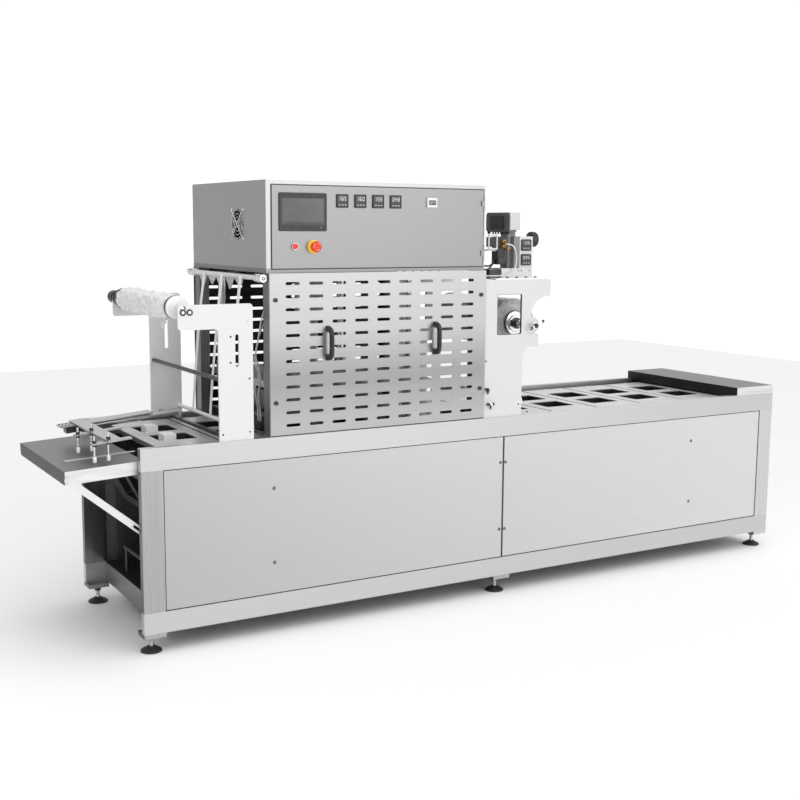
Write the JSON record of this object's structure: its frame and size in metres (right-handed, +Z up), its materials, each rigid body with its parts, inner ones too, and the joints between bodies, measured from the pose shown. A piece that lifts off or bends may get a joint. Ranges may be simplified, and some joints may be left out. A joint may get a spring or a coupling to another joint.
{
  "type": "tray sealer",
  "caption": "Inline tray sealer: long stainless base with an endless conveyor of pocketed tray carriers, a heated press under a control cabinet, film supply and take-up, and a discharge table.",
  "frame": {"origin": "centre of the machine's bounding box, on the floor under its feet", "axes": "+X along the conveyor from the discharge table to the infeed, +Y from the front with the controls to the rear, +Z up"},
  "size_m": [3.248, 0.82, 1.627],
  "materials": {
    "stainless": "brushed",
    "stainless_dark": "brushed",
    "shelf_steel": "satin",
    "bright_steel": "polished",
    "black_rubber": "matte",
    "cover_steel": "satin",
    "motor_paint": "satin",
    "motor_black": "satin",
    "chain_steel": "oiled",
    "cylinder_aluminium": "satin",
    "heater_metal": "satin",
    "white_nylon": "matte",
    "black_plastic": "satin",
    "cabinet_steel": "brushed",
    "dark_plastic": "satin",
    "chrome_trim": "polished",
    "red_plastic": "gloss",
    "white_paint": "satin",
    "dark_steel": "satin",
    "crumpled_film": "crumpled",
    "film": "gloss",
    "coder_paint": "satin",
    "brass_fitting": "satin",
    "clear_hose": "clear",
    "white_hose": "satin",
    "table_steel": "brushed",
    "carrier_plate": "satin"
  },
  "bodies": {
    "frame": {"frame_legs": "stainless_dark", "frame_rails": "stainless", "cross_beams": "stainless_dark", "bottom_shelf": "shelf_steel", "side_panels": "stainless", "panel_screws": "bright_steel", "foot_stems": "bright_steel", "foot_pads": "black_rubber", "infeed_end_cover": "cover_steel", "conveyor_frame": "stainless_dark", "gearmotor": "motor_paint", "drive_chain": "chain_steel", "station_frame": "stainless_dark", "station_columns": "bright_steel", "seal_cylinder": "cylinder_aluminium", "lifter_cylinder": "cylinder_aluminium", "guard_posts": "stainless_dark", "cabinet_shell": "cabinet_steel", "fan_housing": "chrome_trim", "takeup_plates": "white_paint", "tie_bars": "dark_steel", "takeup_motor": "motor_black", "feed_plates": "white_paint", "coder_body": "coder_paint", "coder_control_unit": "coder_paint", "air_fittings": "brass_fitting", "coder_hose": "clear_hose", "cylinder_hoses": "white_hose", "puller_rail": "bright_steel"},
    "motor_sprocket": {"motor_sprocket": "chain_steel"},
    "seal_head": {"seal_head": "cylinder_aluminium", "heater_blocks": "heater_metal"},
    "tray_lifter": {"tray_lifter": "white_nylon"},
    "front_guard": {"front_guard": "stainless", "guard_handles": "black_plastic"},
    "rear_guard": {"rear_guard": "stainless", "rear_handles": "black_plastic"},
    "door": {"cabinet_door": "stainless", "door_instruments": "dark_plastic", "button_collars": "chrome_trim"},
    "push_button": {"push_button": "red_plastic"},
    "estop_head": {"estop_head": "red_plastic"},
    "fan_rotor": {"fan_rotor": "black_plastic"},
    "takeup": {"takeup_shaft": "bright_steel", "waste_roll": "crumpled_film"},
    "upper_guide_roller": {"upper_guide_roller": "bright_steel"},
    "exit_roller": {"exit_roller": "bright_steel"},
    "feed_roller": {"feed_roller": "bright_steel"},
    "supply": {"supply_shaft": "bright_steel", "film_roll": "film"},
    "coder_knob": {"coder_knob": "black_plastic"},
    "table": {"discharge_table": "table_steel"},
    "braces": {"table_braces": "white_paint"},
    "puller": {"puller_comb": "bright_steel", "puller_pins": "bright_steel"},
    "deck": {"carriers_top": "carrier_plate"},
    "return_run": {"carriers_return": "carrier_plate"},
    "drive_wheel": {"drive_shaft": "chain_steel", "drive_end_carrier": "carrier_plate"},
    "idler_wheel": {"idler_shaft": "chain_steel"}
  },
  "joints": [
    {"name": "conveyor_index", "type": "slide", "parent": "frame", "child": "deck", "axis": [-1, 0, 0], "range_m": [-0.024, 0.024]},
    {"name": "return_travel", "type": "slide", "parent": "frame", "child": "return_run", "axis": [1, 0, 0], "range_m": [-0.0245, 0.0245]},
    {"name": "drive_wheel_turn", "type": "hinge", "parent": "frame", "child": "drive_wheel", "pos_m": [-1.171, 0, 0.57654], "axis": [0, -1, 0], "range_deg": [-11.9, 11.9]},
    {"name": "idler_wheel_turn", "type": "hinge", "parent": "frame", "child": "idler_wheel", "pos_m": [1.412, 0, 0.57654], "axis": [0, -1, 0], "range_deg": [-11.9, 11.9]},
    {"name": "motor_sprocket_turn", "type": "hinge", "parent": "frame", "child": "motor_sprocket", "pos_m": [-0.956, 0.354, 0.26], "axis": [0, -1, 0], "range_deg": [-18.4, 18.4]},
    {"name": "seal_press", "type": "slide", "parent": "frame", "child": "seal_head", "axis": [0, 0, -1], "range_m": [0, 0.059]},
    {"name": "tray_lift", "type": "slide", "parent": "frame", "child": "tray_lifter", "axis": [0, 0, -1], "range_m": [0, 0.06]},
    {"name": "front_guard_lift_off", "type": "slide", "parent": "frame", "child": "front_guard", "axis": [0, -1, 0], "range_m": [0, 0.1]},
    {"name": "rear_guard_lift_off", "type": "slide", "parent": "frame", "child": "rear_guard", "axis": [0, 1, 0], "range_m": [0, 0.1]},
    {"name": "door_swing", "type": "hinge", "parent": "frame", "child": "door", "pos_m": [0.012, -0.35, 1.464], "axis": [0, 0, 1], "range_deg": [0, 110]},
    {"name": "push_button_press", "type": "slide", "parent": "door", "child": "push_button", "axis": [0, 1, 0], "range_m": [0, 0.004], "stiffness_N_per_m": 400},
    {"name": "estop_press", "type": "slide", "parent": "door", "child": "estop_head", "axis": [0, 1, 0], "range_m": [0, 0.004]},
    {"name": "fan_spin", "type": "hinge", "parent": "frame", "child": "fan_rotor", "pos_m": [-0.896, -0.096, 1.473], "axis": [1, 0, 0], "continuous": true},
    {"name": "takeup_spin", "type": "hinge", "parent": "frame", "child": "takeup", "pos_m": [-1.214, 0, 1.19], "axis": [0, 1, 0], "continuous": true},
    {"name": "upper_guide_spin", "type": "hinge", "parent": "frame", "child": "upper_guide_roller", "pos_m": [-0.916, 0, 1.286], "axis": [0, 1, 0], "continuous": true},
    {"name": "exit_roller_spin", "type": "hinge", "parent": "frame", "child": "exit_roller", "pos_m": [-0.974, 0, 0.752], "axis": [0, 1, 0], "continuous": true},
    {"name": "feed_roller_spin", "type": "hinge", "parent": "frame", "child": "feed_roller", "pos_m": [0.183, 0, 0.778], "axis": [0, 1, 0], "continuous": true},
    {"name": "supply_spin", "type": "hinge", "parent": "frame", "child": "supply", "pos_m": [0.244, 0, 1.0835], "axis": [0, 1, 0], "continuous": true},
    {"name": "coder_knob_turn", "type": "hinge", "parent": "frame", "child": "coder_knob", "pos_m": [0.294, -0.2695, 1.421], "axis": [1, 0, 0], "continuous": true},
    {"name": "table_tilt", "type": "hinge", "parent": "frame", "child": "table", "pos_m": [-1.346, 0, 0.668], "axis": [0, -1, 0], "range_deg": [0, 10]},
    {"name": "brace_swing", "type": "hinge", "parent": "table", "child": "braces", "pos_m": [-1.611, -0.0315, 0.637], "axis": [0, -1, 0], "range_deg": [-4.3, 0.1]},
    {"name": "puller_stroke", "type": "slide", "parent": "frame", "child": "puller", "axis": [0.9962, 0, 0.0872], "range_m": [0, 0.13]}
  ],
  "couplings": [
    {"joint": "return_travel", "follows": "conveyor_index", "ratio": 1},
    {"joint": "drive_wheel_turn", "follows": "conveyor_index", "rad_per_m": 8.5138},
    {"joint": "idler_wheel_turn", "follows": "conveyor_index", "rad_per_m": 8.5138},
    {"joint": "motor_sprocket_turn", "follows": "conveyor_index", "rad_per_m": 13.196},
    {"joint": "brace_swing", "follows": "table_tilt", "ratio": -0.418}
  ]
}
